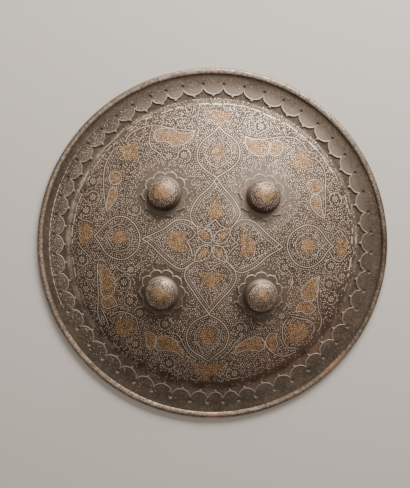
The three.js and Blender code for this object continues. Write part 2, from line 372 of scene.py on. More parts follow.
class Inlay:
    """One metal laid into one face: gathers shapes in plan and makes a single mesh of them."""
    rise, sink = 0.07, 0.02

    def __init__(self, lift, chart, chance):
        self.lift, self.chart, self.chance = lift, chart, chance
        self.corners, self.heights, self.faces = [], [], []
        self.count = 0

    def add(self, corners, heights, faces):
        self.corners.append(corners)
        self.heights.append(heights)
        self.faces += [tuple(self.count + c for c in face) for face in faces]
        self.count += len(corners)

    def add_many(self, shape, places, angles, lengths, widths):
        """Copies of a small shape, each turned, stretched and placed."""
        corners, heights, faces = shape
        stretched = corners[None] * np.stack([lengths, widths], axis=1)[:, None]
        cos, sin = np.cos(angles)[:, None], np.sin(angles)[:, None]
        x = stretched[..., 0] * cos - stretched[..., 1] * sin + places[:, :1]
        y = stretched[..., 0] * sin + stretched[..., 1] * cos + places[:, 1:]
        for one in np.stack([x, y], axis=-1):
            self.add(one, heights, faces)

    def line(self, path, width, clear=1.7):
        self.add(*strip(path, width))
        self.chart.take_path(path, width / 2 + clear)

    def beads(self, path, distance, spacing=3.1, radius=0.85):
        """A row of dots beside a path."""
        for run in runs_beside(path, distance):
            places = np.array([spot for spot in even_steps(run, spacing) if not self.chart.is_taken(*spot)])
            if len(places):
                across = np.full(len(places), 2 * radius)
                self.add_many(dot, places, np.zeros(len(places)), across, across)
            for x, y in places:
                self.chart.take_disc(x, y, radius + 1.1)

    def flower(self, centre, radius=3.1, petals=7):
        """A dot in a ring of petals."""
        petal_length, petal_width, eye = 2.7, 2.1, 2.4
        turns = np.arange(petals) * 2 * math.pi / petals
        places = np.vstack([centre + around(radius, turns), [centre]])
        lengths, widths = np.array([[petal_length, petal_width]] * petals + [[eye, eye]]).T
        self.add_many(dot, places, np.r_[turns, 0], lengths, widths)
        self.chart.take_disc(centre[0], centre[1], radius + 3.3)

    def curl(self, centre):
        """A scroll round a small flower, where there is room for it."""
        turn = self.chance.uniform(0, 2 * math.pi)
        span = self.chance.uniform(3.6, 5.2) * self.chance.choice((-1, 1))
        share = np.linspace(0, 1, 26)
        free = []
        for spot in centre + around(7.6 + 2.6 * share ** 2, turn + span * share):
            if self.chart.is_taken(*spot) or math.hypot(*spot) > shoulder_top - 3:
                break
            free.append(spot)
        if len(free) > 7:
            self.line(np.array(free), thin_width + 0.1, 1.2)

    def broken_ring(self, ring_radius, odds, widths):
        """What is left of a silver ring at the shoulder."""
        turn, chance = 0.0, self.chance
        while turn < 2 * math.pi:
            span = chance.uniform(0.02, 0.1)
            turns = np.linspace(turn, turn + span, max(4, int(span / 0.008)))
            arc = around(ring_radius + chance.uniform(-0.8, 1.2), turns)
            if chance.random() < round_the_ring(turn, odds):
                self.line(arc, chance.uniform(*widths), 0.6)
            turn += span + chance.uniform(0.005, 0.02)

    def fill(self, allowed, reach, spacing, size, tendrils=0.22):
        """Fills what is free with small leaves, some of them on tendrils."""
        chart, chance = self.chart, self.chance
        shift, bare_room, leaf_room = 0.65, 0.6 * spacing, 0.86 * spacing
        places, angles, lengths = [], [], []
        for x, y in filling_spots(chance, reach, 1.15 * spacing):
            x += chance.uniform(-shift, shift)
            y += chance.uniform(-shift, shift)
            if math.hypot(x, y) > reach or chart.is_taken(x, y):
                continue
            odds = allowed(x, y)
            if odds <= 0:
                continue
            if chance.random() > odds:
                chart.take_disc(x, y, bare_room)
                continue
            places.append((x, y))
            angles.append(flow(x, y) + chance.uniform(-1.4, 1.4))
            lengths.append(size * chance.uniform(0.65, 1.35))
            chart.take_disc(x, y, leaf_room)
        places, lengths = np.array(places), np.array(lengths)
        self.add_many(leaf, places, np.array(angles), lengths, lengths * 1.5)
        nearest = kdtree.KDTree(len(places))
        for i, (x, y) in enumerate(places):
            nearest.insert((x, y, 0), i)
        nearest.balance()
        linked = []
        for x, y in places:
            _, j, gap = nearest.find_n((x, y, 0), 2)[1]
            if chance.random() < tendrils and gap < 1.5 * spacing:
                turn = math.atan2(places[j][1] - y, places[j][0] - x)
                linked.append((x, y, turn, gap, gap * chance.choice((-1, 1))))
        if linked:
            linked = np.array(linked)
            self.add_many(tendril, linked[:, :2], *linked[:, 2:].T)

    def lay(self, name, finish, slot):
        """Makes the mesh of all that was gathered."""
        plan, heights = np.vstack(self.corners), np.concatenate(self.heights)
        above = np.where(heights > 0.5, self.rise, -self.sink)
        data = bpy.data.meshes.new(name)
        data.from_pydata((self.lift(plan[:, 0], plan[:, 1], above) * MM).tolist(), [], self.faces)
        data.validate()
        finish_with(put_in_scene(name, data), finish)


# Modelling by hand: round pieces grown from a circle, walls, cuts and copies
def deselect():
    if bpy.context.object and bpy.context.object.mode != "OBJECT":
        bpy.ops.object.mode_set(mode="OBJECT")
    bpy.ops.object.select_all(action="DESELECT")


def pick(piece):
    deselect()
    piece.select_set(True)
    bpy.context.view_layer.objects.active = piece


def edit(piece):
    """Opens a piece in edit mode with all of it selected."""
    pick(piece)
    bpy.ops.object.mode_set(mode="EDIT")
    bpy.ops.mesh.select_mode(type="EDGE")
    bpy.ops.mesh.select_all(action="SELECT")


def close_edit():
    bpy.ops.object.mode_set(mode="OBJECT")


def grown_rings(name, rows, columns, filled=False, capped=False):
    """A circle extruded row by row through [radius, height] rows, with a filled start or end."""
    deselect()
    radius, height = rows[0]
    bpy.ops.mesh.primitive_circle_add(vertices=columns, radius=radius * MM, location=(0, 0, height * MM),
                                      fill_type="TRIFAN" if filled else "NOTHING")
    piece = bpy.context.object
    piece.name = piece.data.name = name
    bpy.ops.object.transform_apply(location=True, rotation=True, scale=True)
    edit(piece)
    if filled:
        bpy.ops.mesh.region_to_loop()
    for (radius, height), (next_radius, next_height) in zip(rows, rows[1:]):
        bpy.ops.mesh.extrude_edges_move()
        grow = next_radius / radius
        bpy.ops.transform.resize(value=(grow, grow, 1), center_override=(0, 0, 0))
        bpy.ops.transform.translate(value=(0, 0, (next_height - height) * MM))
    if capped:
        bpy.ops.mesh.edge_face_add()
    close_edit()
    return piece


def face_up(piece):
    """Turns the faces of an open sheet so that they look up."""
    if sum(face.normal.z * face.area for face in piece.data.polygons) < 0:
        edit(piece)
        bpy.ops.mesh.flip_normals()
        close_edit()


def face_out(piece):
    edit(piece)
    bpy.ops.mesh.remove_doubles(threshold=1e-6)
    bpy.ops.mesh.normals_make_consistent(inside=False)
    close_edit()


def corners_of(piece):
    places = np.empty(3 * len(piece.data.vertices))
    piece.data.vertices.foreach_get("co", places)
    return places.reshape(-1, 3) / MM


def set_corners(piece, places):
    piece.data.vertices.foreach_set("co", (np.asarray(places) * MM).ravel())
    piece.data.update()


def give_wall(piece, wall):
    pick(piece)
    solid = piece.modifiers.new("wall", "SOLIDIFY")
    solid.thickness = wall * MM
    solid.offset = -1
    solid.use_even_offset = True
    bpy.ops.object.modifier_apply(modifier=solid.name)


def cut_with(piece, cutter):
    pick(piece)
    cut = piece.modifiers.new("cut", "BOOLEAN")
    cut.operation = "DIFFERENCE"
    cut.solver = "EXACT"
    cut.object = cutter
    bpy.ops.object.modifier_apply(modifier=cut.name)


def copies_of(piece, places, squash=(1, 1, 1)):
    """Copies of a piece at places in millimetres, each with its own mesh. The piece itself is removed."""
    one, copies = corners_of(piece) * np.array(squash), []
    for place in places:
        copies.append(put_in_scene(piece.name, piece.data.copy()))
        set_corners(copies[-1], one + place)
    bpy.data.objects.remove(piece)
    return copies


def joined(pieces, name):
    deselect()
    for piece in pieces:
        piece.select_set(True)
    bpy.context.view_layer.objects.active = pieces[0]
    bpy.ops.object.join()
    pieces[0].name = pieces[0].data.name = name
    return pieces[0]


def place_by(piece, matrix):
    """Moves a mesh modelled at the origin to a boss's seat."""
    turn = np.array(matrix)
    set_corners(piece, corners_of(piece) @ turn[:3, :3].T + turn[:3, 3])


def paint(piece, name, values):
    """Keeps a number for each corner, which the finish reads. A second coat adds to the first."""
    values = np.zeros(len(piece.data.vertices)) + values
    layer = piece.data.attributes.get(name)
    if layer:
        before = np.empty(len(values))
        layer.data.foreach_get("value", before)
        values += before
    else:
        layer = piece.data.attributes.new(name=name, type="FLOAT", domain="POINT")
    layer.data.foreach_set("value", np.clip(values, 0, 1))


def bell(value, middle, width):
    """1 at the middle, falling off softly on both sides."""
    return np.exp(-((value - middle) / width) ** 2)


def round_the_ring(turn, values):
    """A value at each angle, from eight given every 45 degrees, counter-clockwise from the right."""
    return np.interp(np.degrees(turn) % 360, np.arange(9) * 45, list(values) + [values[0]])


def finish_with(piece, finish, node=None, degrees=32):
    """Gives a piece its finish. One that stands for a node is smoothed too."""
    if node:
        pick(piece)
        bpy.ops.object.shade_smooth_by_angle(angle=math.radians(degrees))
    piece.data.materials.clear()
    piece.data.materials.append(finish)
    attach(piece, "root")
    if node:
        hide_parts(node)


# Finishes
def new_finish(name):
    finish = bpy.data.materials.new(name)
    finish.use_nodes = True
    tree = finish.node_tree
    tree.nodes.clear()
    shader = tree.nodes.new("ShaderNodeBsdfPrincipled")
    output = tree.nodes.new("ShaderNodeOutputMaterial")
    tree.links.new(shader.outputs[0], output.inputs[0])
    return finish, tree, shader


def add_node(tree, kind, inputs, output=0, **settings):
    """A node of the finish, with its inputs linked or set."""
    made = tree.nodes.new("ShaderNode" + kind)
    for name, value in settings.items():
        setattr(made, name, value)
    for socket, value in inputs.items():
        if isinstance(value, bpy.types.NodeSocket):
            tree.links.new(value, made.inputs[socket])
        else:
            made.inputs[socket].default_value = (*value, 1.0) if isinstance(value, tuple) else value
    return made.outputs[output]


def noise(tree, scale, detail=4.0, rough=0.6):
    """Noise on object coordinates, with features of about 1/scale metres."""
    where = add_node(tree, "TexCoord", {}, "Object")
    return add_node(tree, "TexNoise", {"Vector": where, "Scale": scale, "Detail": detail, "Roughness": rough})


def spread(tree, source, low, high, to_low=0.0, to_high=1.0):
    return add_node(tree, "MapRange", {"Value": source, "From Min": low, "From Max": high, "To Min": to_low,
                                       "To Max": to_high}, clamp=True)


def sum_of(tree, kind, first, second):
    return add_node(tree, "Math", {0: first, 1: second}, operation=kind)


def mixed(tree, share, first, second):
    return add_node(tree, "Mix", {0: share, 6: first, 7: second}, 2, data_type="RGBA")


def painted(tree, name):
    return add_node(tree, "Attribute", {}, "Fac", attribute_name=name)


deep_brown = (0.03, 0.02, 0.014)
dark_steel = (0.080, 0.055, 0.038)
brown_steel = (0.150, 0.107, 0.077)
pale_steel = (0.34, 0.27, 0.212)
fleck_steel = (0.42, 0.345, 0.28)
worn_and_lit_steel = (0.62, 0.53, 0.45)
gold_leaf = (0.70, 0.43, 0.23)
rust_brown = (0.215, 0.115, 0.082)


def close_finish(tree, shader, colour, metal, dull, layers):
    """The finish's colour, metal, roughness and bumps: [height source, depth in millimetres], deepest first."""
    tree.links.new(colour, shader.inputs["Base Color"])
    shader.inputs["Metallic"].default_value = metal
    tree.links.new(dull, shader.inputs["Roughness"])
    normal = {}
    for height, depth in layers:
        bump = {"Distance": depth * MM, "Strength": 1.0, "Height": height}
        normal = {"Normal": add_node(tree, "Bump", {**bump, **normal})}
    tree.links.new(normal["Normal"], shader.inputs["Normal"])


def steel_finish(name, dark, middle, pale, metal=0.38, rough=(0.54, 0.72), flecks=0.3):
    """Browned worn steel: golden where it is painted gilded, lighter where it is worn and where a highlight is
    painted, darker where grime and painted shade are laid on.
    """
    finish, tree, shader = new_finish(name)
    cloud = noise(tree, 28, 5, 0.6)
    mottle = noise(tree, 240, 4, 0.65)
    fleck = noise(tree, 620, 3, 0.7)
    grain = noise(tree, 1300, 2, 0.6)
    # The wear_and_highlight share holds real wear together with painted highlights, and mixes the colour towards
    # worn_and_lit_steel
    wear_and_highlight_share = painted(tree, "wear_and_highlight")
    stained = sum_of(tree, "MULTIPLY", painted(tree, "stain"), spread(tree, cloud, 0.3, 0.6, 0.35, 1))
    gilded = sum_of(tree, "MULTIPLY", painted(tree, "gilding"), spread(tree, mottle, 0.40, 0.62, 0.08, 0.42))
    # Grime and painted shade: this share darkens the colour towards deep_brown and dulls it
    grime_and_shade = sum_of(tree, "MULTIPLY", painted(tree, "grime_and_shade"), spread(tree, mottle, 0.3, 0.7, 1, 0.55))
    colour = mixed(tree, spread(tree, cloud, 0.36, 0.66), dark, middle)
    for share, coat in ((spread(tree, mottle, 0.5, 0.78, 0, 0.55), pale),
                        (spread(tree, fleck, 0.36, 0.5, flecks, 0), deep_brown), (stained, rust_brown),
                        (gilded, gold_leaf), (wear_and_highlight_share, worn_and_lit_steel),
                        (spread(tree, fleck, 0.52, 0.68, 0, flecks), fleck_steel), (grime_and_shade, deep_brown)):
        colour = mixed(tree, share, colour, coat)
    dull = spread(tree, mottle, 0.3, 0.75, *rough)
    dull = sum_of(tree, "SUBTRACT", dull, sum_of(tree, "MULTIPLY", wear_and_highlight_share, 0.1))
    dull = sum_of(tree, "ADD", dull, sum_of(tree, "MULTIPLY", grime_and_shade, 0.25))
    close_finish(tree, shader, colour, metal, dull, [(mottle, 0.10), (grain, 0.035)])
    return finish


def wire_finish(name, bright, tarnish, rough=0.34):
    """Silver or gold of the inlay, worn bright and tarnished in patches."""
    finish, tree, shader = new_finish(name)
    patch = noise(tree, 60, 4, 0.6)
    speck = noise(tree, 900, 2, 0.6)
    worn = sum_of(tree, "ADD", sum_of(tree, "MULTIPLY", patch, 0.5), sum_of(tree, "MULTIPLY", speck, 0.5))
    colour = mixed(tree, spread(tree, worn, 0.38, 0.6), tarnish, bright)
    close_finish(tree, shader, colour, 0.4, spread(tree, speck, 0.3, 0.7, rough, rough + 0.16), [(speck, 0.03)])
    return finish


def binding_finish():
    """Worn silvery alloy, brown in patches, lighter along the crest with wear and a painted highlight, darker off
    the crest with painted shade, and coppery where the silver is gone.
    """
    finish, tree, shader = new_finish("worn silvery alloy")
    cloud = noise(tree, 45, 5, 0.65)
    mottle = noise(tree, 320, 4, 0.65)
    patch = noise(tree, 130, 3, 0.5)
    grain = noise(tree, 1200, 2, 0.6)
    wear_and_highlight_share = sum_of(tree, "MULTIPLY", painted(tree, "wear_and_highlight"), spread(tree, mottle, 0.38, 0.58, 1.25, 0.4))
    copper = spread(tree, sum_of(tree, "ADD", painted(tree, "copper"), mottle), 0.95, 1.2)
    colour = mixed(tree, spread(tree, cloud, 0.40, 0.60), (0.11, 0.078, 0.055), (0.38, 0.29, 0.225))
    for share, coat in ((spread(tree, patch, 0.46, 0.60, 0, 0.75), (0.10, 0.075, 0.055)),
                        (spread(tree, mottle, 0.44, 0.6, 0, 0.8), (0.10, 0.074, 0.053)),
                        (painted(tree, "grime_and_shade"), (0.06, 0.043, 0.032)), (wear_and_highlight_share, (0.60, 0.49, 0.40)),
                        (copper, (0.66, 0.34, 0.19))):
        colour = mixed(tree, share, colour, coat)
    dull = spread(tree, mottle, 0.3, 0.75, 0.34, 0.55)
    close_finish(tree, shader, colour, 0.8, dull, [(patch, 0.5), (mottle, 0.25), (grain, 0.04)])
    return finish


dome_finish = steel_finish("browned dome steel", dark_steel, brown_steel, pale_steel)
border_finish = steel_finish("browned border steel", (0.082, 0.06, 0.043), (0.15, 0.113, 0.083),
                             (0.28, 0.225, 0.175), flecks=0.36)
boss_finish = steel_finish("dark boss steel", (0.13, 0.090, 0.064), (0.20, 0.145, 0.108),
                           (0.36, 0.285, 0.225), metal=0.5, rough=(0.4, 0.54), flecks=0.15)
silver_finish = wire_finish("tarnished silver", (1.0, 0.88, 0.76), (0.64, 0.51, 0.405))
gold_finish = wire_finish("worn gold", (1.0, 0.66, 0.36), (0.62, 0.37, 0.18))


# The lobed edges of the border and the washers
def lobe_reach(share, depth, nib, nib_share):
    """How far a lobe stands out at its share across, from -1 to 1, and its nib beyond that."""
    across = np.abs(share)
    curve = depth * np.maximum(1 - across ** 2, 0) ** lobe_bulge
    point = np.where(across < nib_share, nib * (1 - across / nib_share), 0)
    return curve, point


def lappet_angles():
    """Angles of the tips and of the notches before and after each."""
    whole = sum(span for _, span in lappet_runs)
    tips, angle = [], first_tip
    for count, span in lappet_runs:
        for _ in range(count):
            tips.append(angle)
            angle += span / whole * 360 / count
    tips = np.radians(tips)
    after = (tips + np.r_[tips[1:], tips[0] + 2 * math.pi]) / 2
    before = np.r_[after[-1] - 2 * math.pi, after[:-1]]
    return tips, before, after


tips, notches_before, notches_after = lappet_angles()
lacing_holes = around(lacing_ring, notches_after)

# Beaded edge of a lobed sheet: how far in from the edge, and how high
bead_rows = [(0.0, -0.1), (0.3, 0.24), (0.75, 0.4), (1.2, 0.22), (1.7, 0.0), (2.7, 0.0)]


def lobed_outline(spans, base, depth, nib, nib_share, outwards):
    """Angles and radii of a lobed edge, and the same without the nibs."""
    share = np.sin(np.linspace(-1, 1, points_per_lobe, endpoint=False) * math.pi / 2)
    curve, point = lobe_reach(share, depth, nib, nib_share)
    angles = np.concatenate([(first + last) / 2 + share * (last - first) / 2 for first, last in spans])
    rounded, pointed = base + outwards * curve, base + outwards * (curve + point)
    return angles, np.tile(rounded, len(spans)), np.tile(pointed, len(spans))


def lobed_sheet(name, outline, plain_radius, outwards, height_at, inner_rows, edge_highlight):
    """A thin sheet with a beaded lobed edge, a plain round edge and rows between them."""
    angles, rounded, pointed = outline
    columns, beaded = len(angles), len(bead_rows)
    row_count = beaded + len(inner_rows)
    piece = grown_rings(name, [[100.0 + row, 0.0] for row in range(row_count)], columns)
    places = corners_of(piece)
    row = np.rint(np.hypot(places[:, 0], places[:, 1]) - 100).astype(int)
    column = np.rint(np.arctan2(places[:, 1], places[:, 0]) / (2 * math.pi / columns)).astype(int) % columns
    edge = around(rounded, angles)
    inwards = sides_of(np.vstack([edge[-1:], edge, edge[:1]]))[1:-1] * outwards
    plan = np.empty((row_count, columns, 2))
    height = np.zeros(row_count)
    for i, (inset, bead) in enumerate(bead_rows):
        plan[i] = around(pointed, angles) if i == 0 else edge + inwards * inset
        height[i] = bead
    last = plan[beaded - 1]
    last_radius = np.hypot(last[:, 0], last[:, 1])
    last_angle = np.unwrap(np.arctan2(last[:, 1], last[:, 0]))
    even_angle = np.unwrap(angles)
    last_angle += 2 * math.pi * np.rint((even_angle - last_angle) / (2 * math.pi))
    for i, share in enumerate(inner_rows):
        angle = last_angle + (even_angle - last_angle) * min(1, 2 * share)
        plan[beaded + i] = around(last_radius + (plain_radius - last_radius) * share, angle)
    x, y = plan[row, column].T
    set_corners(piece, height_at(x, y, height[row]))
    face_up(piece)
    # Wear of the raised bead and a painted highlight along it, made stronger by direction through edge_highlight
    # where the edge faces the light
    wear_and_highlight_share = np.array([0.2, 0.42, 0.42, 0.22, 0.03, 0.0] + [0.0] * len(inner_rows))
    paint(piece, "wear_and_highlight", wear_and_highlight_share[row] * round_the_ring(np.arctan2(y, x), edge_highlight))
    return piece


def small_studs(places, radius, rise, name):
    """Round bead heads at chosen places, flattened."""
    deselect()
    bpy.ops.mesh.primitive_uv_sphere_add(segments=12, ring_count=6, radius=radius * MM)
    bpy.context.object.name = name
    return copies_of(bpy.context.object, places, (1, 1, rise / radius))


def lacing_cutter():
    """Drills with a countersink, one for each lacing hole, in one object."""
    top = float(plate_top(lacing_ring)) + seat_gap + border_wall
    mouth = top - (lacing_mouth - lacing_radius)
    rows = [[lacing_radius, -6.0], [lacing_radius, mouth], [lacing_mouth + 1, top + 1]]
    drill = grown_rings("drill", rows, drill_columns, filled=True, capped=True)
    face_out(drill)
    return joined(copies_of(drill, np.column_stack([lacing_holes, np.zeros(len(lacing_holes))])), "drills")


def shank_cutter():
    drills = []
    for seat in seats.values():
        rows = [[shank_radius + seat_gap, height] for height in (-8, 8)]
        drill = grown_rings("shank drill", rows, shank_columns, filled=True, capped=True)
        face_out(drill)
        place_by(drill, seat)
        drills.append(drill)
    return joined(drills, "shank drills")


def make_border(drills):
    outline = lobed_outline(list(zip(notches_before, notches_after)), notch_radius, lappet_depth, lappet_nib,
                            lappet_nib_share, -1)
    rest = seat_gap + border_wall
    # The eight numbers at the end give the painted highlight along the beaded edge by direction
    piece = lobed_sheet("lappet border sheet", outline, sheet_edge, -1,
                        lambda x, y, z: dome_point(x, y, z + rest),
                        [0.15, 0.3, 0.45, 0.55, 0.65, 0.75, 0.85, 0.93, 1.0],
                        (1.3, 2.1, 2.1, 1.2, 1.4, 1.6, 1.5, 1.6))
    give_wall(piece, border_wall)
    cut_with(piece, drills)
    x, y = corners_of(piece)[:, :2].T
    radius, turn = np.hypot(x, y), np.arctan2(y, x)
    # Painted highlight on the inner part of the lappets in the upper half, where the light falls
    lappet_highlight = np.clip((213 - radius) / 12, 0, 1) * round_the_ring(turn, (0, 0.36, 0.38, 0.1, 0.14, 0, 0, 0))
    # Painted shadow in the corner beside the binding, strongest at the top where the binding shades the border
    corner = bell(radius, binding_shadow_ring, 3.2) * round_the_ring(turn, (0.5, 1, 1, 0.8, 0.3, 0, 0, 0.3))
    # Painted shade on the inner part of the border, most at the bottom, away from the light
    low_side_shade = round_the_ring(turn, (0.12, 0, 0, 0.2, 0.15, 0.2, 0.42, 0.2)) * np.clip((220 - radius) / 8, 0, 1)
    # Darker along the ring of lacing holes
    round_the_holes = 0.22 * bell(radius, lacing_ring, 4)
    # Painted highlight on the lips of the lacing holes in the lower half, where the light from the top catches them
    to_hole = np.min([np.hypot(x - hole_x, y - hole_y) for hole_x, hole_y in lacing_holes], axis=0)
    hole_lip_highlight = (to_hole < lacing_mouth + 0.1) * round_the_ring(turn, (0.05, 0, 0, 0.05, 0.1, 0.35, 0.3, 0.12))
    paint(piece, "wear_and_highlight", lappet_highlight + hole_lip_highlight)
    paint(piece, "grime_and_shade", corner + low_side_shade + round_the_holes)
    nibs = around(notch_radius - lappet_depth - 0.45 * lappet_nib, tips)
    studs = small_studs(dome_point(nibs[:, 0], nibs[:, 1], rest), 1.45, 0.9, "nib bead")
    # Painted highlight on the nib beads, lighter on the upper side where the light falls
    for stud, tip in zip(studs, tips):
        paint(stud, "wear_and_highlight", round_the_ring(tip, (0.55, 0.8, 0.8, 0.45, 0.5, 0.45, 0.4, 0.5)))
    piece = joined([piece] + studs, "lappet_border_sheet")
    finish_with(piece, border_finish, "lappet_border")


def make_washer(name):
    quarter, lobe_turn = boss_places[name]
    start = math.radians(lobe_turn) - seat_angle(quarter)
    pitch = 2 * math.pi / washer_lobes
    spans = [(start + pitch * (i - 0.5), start + pitch * (i + 0.5)) for i in range(washer_lobes)]
    outline = lobed_outline(spans, boss_radius + washer_margin, washer_depth, washer_nib, washer_nib_share, 1)

    def on_seat(x, y, z):
        drop = dome_radius - np.sqrt(dome_radius ** 2 - x ** 2 - y ** 2)
        return np.stack([x, y, z + seat_gap + washer_wall - drop], axis=-1)

    # The eight numbers give the painted highlight along the beaded edge by direction, turned with the seat so that
    # the side facing the light is lighter
    piece = lobed_sheet("washer " + name, outline, shank_radius + seat_gap, 1, on_seat,
                        [0.12, 0.25, 0.4, 0.6, 0.8, 1.0],
                        np.roll((1.0, 2.2, 2.5, 2.0, 1.0, 0.4, 0.3, 0.6), -1 - 2 * quarter))
    give_wall(piece, washer_wall)
    nibs = around(washer_reach + 0.4 * washer_nib, start + pitch * np.arange(washer_lobes))
    studs = small_studs(on_seat(nibs[:, 0], nibs[:, 1], 0), 1.0, 0.7, "washer bead")
    for stud in studs:
        paint(stud, "wear_and_highlight", 0.6)
    # Wear and a painted highlight lighten the washer, most at the upper right boss
    paint(piece, "wear_and_highlight", 0.9 * boss_wear_and_sheen[name])
    piece = joined([piece] + studs, "washer_" + name)
    place_by(piece, seats[name])
    finish_with(piece, border_finish, "rosette_" + name)


def make_dome(drills, shank_drills, chart):
    rows = np.r_[np.arange(2.0, shoulder_top, 2.0), np.linspace(shoulder_top, shoulder_foot, 13),
                 np.linspace(shoulder_foot, sheet_edge, 14)[1:]]
    piece = grown_rings("dome_plate_sheet", [[r, float(plate_top(r))] for r in rows], plate_columns,
                        filled=True)
    set_corners(piece, dome_point(*corners_of(piece)[:, :2].T))
    face_up(piece)
    give_wall(piece, plate_wall)
    cut_with(piece, drills)
    cut_with(piece, shank_drills)
    x, y, z = corners_of(piece).T
    radius, turn = np.hypot(x, y), np.arctan2(y, x)
    outer = z > plate_top(radius) - plate_wall / 2
    # Painted highlight: a broken light band round the shoulder, strongest at the left, standing in for the light
    # that the smooth shoulder reflects
    patchy = round_the_ring(turn, (0.36, 0.2, 0.15, 0.35, 1.5, 0.6, 0.25, 0.25))
    patchy *= np.clip(0.7 + 0.4 * np.sin(57 * turn + 2.5 * np.sin(9 * turn)) + 0.4 * np.sin(31 * turn), 0.2, 1.2)
    shoulder_highlight = np.interp(radius, [184, 187, 188.5, 190, 192], [0, 0.6, 1, 0.6, 0]) * patchy
    foot = bell(radius, shoulder_foot + 2, 3)
    low_right = bell(np.degrees(turn), -50, 24) * np.interp(radius, [138, 160, 196, 204], [0, 1, 1, 0])
    spot = bell(np.hypot(x - 103, y + 66), 0, 13)
    paint(piece, "gilding", chart.is_gold(x, y) * outer)
    paint(piece, "wear_and_highlight", shoulder_highlight * outer)
    # Painted shade in the crease at the foot of the shoulder, strongest at the right and the upper left
    paint(piece, "grime_and_shade", foot * outer * round_the_ring(turn, (0.4, 0.1, 0, 0.4, 0.35, 0.1, 0.05, 0.2)))
    paint(piece, "stain", 0.6 * outer * (low_right + spot))
    for name, seat in seats.items():
        away = np.hypot(x - seat.translation.x, y - seat.translation.y)
        # Wear and a painted highlight lighten the steel round each boss, most round the upper right boss
        paint(piece, "wear_and_highlight", boss_wear_and_sheen[name] * outer * np.clip((52 - away) / 20, 0, 1))
    finish_with(piece, dome_finish, "dome_plate")


def make_binding():
    """The strip folded over the edges: a rounded crest outside, a groove for the sheets inside."""
    half, low, outer_foot = binding_width / 2, 1.6, 3.6
    crest = [[rim_radius - half - half * math.cos(t) * 0.98, binding_height - low + low * math.sin(t)]
             for t in np.linspace(0.05, math.pi / 2, 8)]
    outer = [[rim_radius - half + half * math.cos(t) ** 0.8,
              outer_foot + (binding_height - outer_foot) * math.sin(t) ** 0.8]
             for t in np.linspace(math.pi / 2 - 0.15, 0.0, 9)]
    under = [[rim_radius, 2.4], [rim_radius - 0.7, 0.8], [rim_radius - 2.2, 0.0],
             [binding_inner + 2.2, 0.0], [binding_inner + 0.6, 0.7], [binding_inner, low]]
    groove = [[rim_radius - low, low], [rim_radius - low, binding_height - low]]
    piece = grown_rings("binding_strip", crest + outer + under + groove, binding_columns)
    edit(piece)
    bpy.ops.mesh.select_all(action="DESELECT")
    bpy.ops.mesh.select_non_manifold()
    bpy.ops.mesh.bridge_edge_loops()
    close_edit()
    face_out(piece)
    places = corners_of(piece)
    x, y, z = places.T
    radius, angle = np.hypot(x, y), np.arctan2(y, x)
    degrees = np.degrees(angle)
    top = np.clip((z - 2.5) / 4, 0, 1)
    dents = 0.22 * np.sin(angle * 23 + 1.3 * np.sin(angle * 7)) * np.sin(angle * 11 + 0.7)
    joint = -0.8 * sum(bell(degrees, mark, 0.35) for mark in joint_marks)
    crest_radius = round_the_ring(angle, (227.4, 226.2, 225.6, 225.6, 226.2, 227.0, 224.4, 227.8))
    crest_width = round_the_ring(angle, (2, 3.8, 4.4, 3.8, 3, 2.4, 2.2, 2))
    crest_share = bell(radius, crest_radius, crest_width)
    places[:, 2] += top * (dents * 0.8 + joint * crest_share)
    set_corners(piece, places)
    # Wear and a painted highlight along the crest, widened towards the inside at the top so that the slope facing
    # away from the light is lighter
    wear_and_highlight = round_the_ring(angle, (0.16, 0.66, 0.76, 0.6, 0.6, 0.8, 0.8, 0.75))
    paint(piece, "copper", 0.55 * bell(degrees, -45, 11) + 0.6 * bell(degrees, -90, 4))
    paint(piece, "wear_and_highlight", wear_and_highlight * (0.3 + 0.7 * crest_share) * top)
    # Painted shade off the crest, most at the right
    paint(piece, "grime_and_shade", round_the_ring(angle, (0.75, 0.2, 0, 0, 0, 0.1, 0.1, 0.5)) * (1 - crest_share) * top)
    finish_with(piece, binding_finish(), "rim_binding", 40)


def make_boss(name, chart):
    """A hollow boss with a groove round its cap, and its shank clenched behind the plate."""
    rows = []
    for t in np.linspace(0.03, 1.0, 30):
        radius = boss_radius * math.sin(t * math.pi / 2)
        rows.append([radius, float(boss_top(radius) - cap_groove * bell(radius, cap_radius, cap_groove))])
    foot = rows[-1][1] - boss_skirt
    rows += [[boss_radius, rows[-1][1] - boss_skirt * share] for share in (0.3, 0.6, 0.85)]
    shell = grown_rings("boss " + name, rows + [[boss_radius - 0.1, foot]], boss_columns, filled=True)
    face_up(shell)
    give_wall(shell, boss_wall)
    back = -(plate_wall + seat_gap + clench_gap)
    shank_rows = [[2.0, back - clench_thick], [4.6, back - 0.8 * clench_thick], [clench_radius, back - 1.0],
                  [clench_radius - 0.1, back], [shank_radius, back + 0.02],
                  [shank_radius, washer_wall + boss_height - boss_wall]]
    shank = grown_rings("shank " + name, shank_rows, shank_columns, filled=True, capped=True)
    face_out(shank)
    piece = joined([shell, shank], "boss_steel_" + name)
    x, y, z = corners_of(piece).T
    radius = np.hypot(x, y)
    outer = z > boss_top(radius) - boss_wall / 2
    wall = outer * np.clip((radius - cap_radius) / 0.6, 0, 1)
    paint(piece, "gilding", chart.is_gold(x, y) * outer)
    place_by(piece, seats[name])
    world = corners_of(piece)
    turn = np.arctan2(world[:, 1] - seats[name].translation.y, world[:, 0] - seats[name].translation.x)
    # Painted highlight on the side of the boss's wall that faces the light, from the right round to the top
    paint(piece, "wear_and_highlight", wall * round_the_ring(turn, (0.3, 0.6, 0.6, 0.3, 0.1, 0, 0, 0.05)))
    # Painted shade on the wall's lower side, away from the light
    paint(piece, "grime_and_shade", wall * round_the_ring(turn, (0.1, 0, 0, 0, 0.3, 0.55, 0.7, 0.5)))
    finish_with(piece, boss_finish, "boss_" + name, 40)


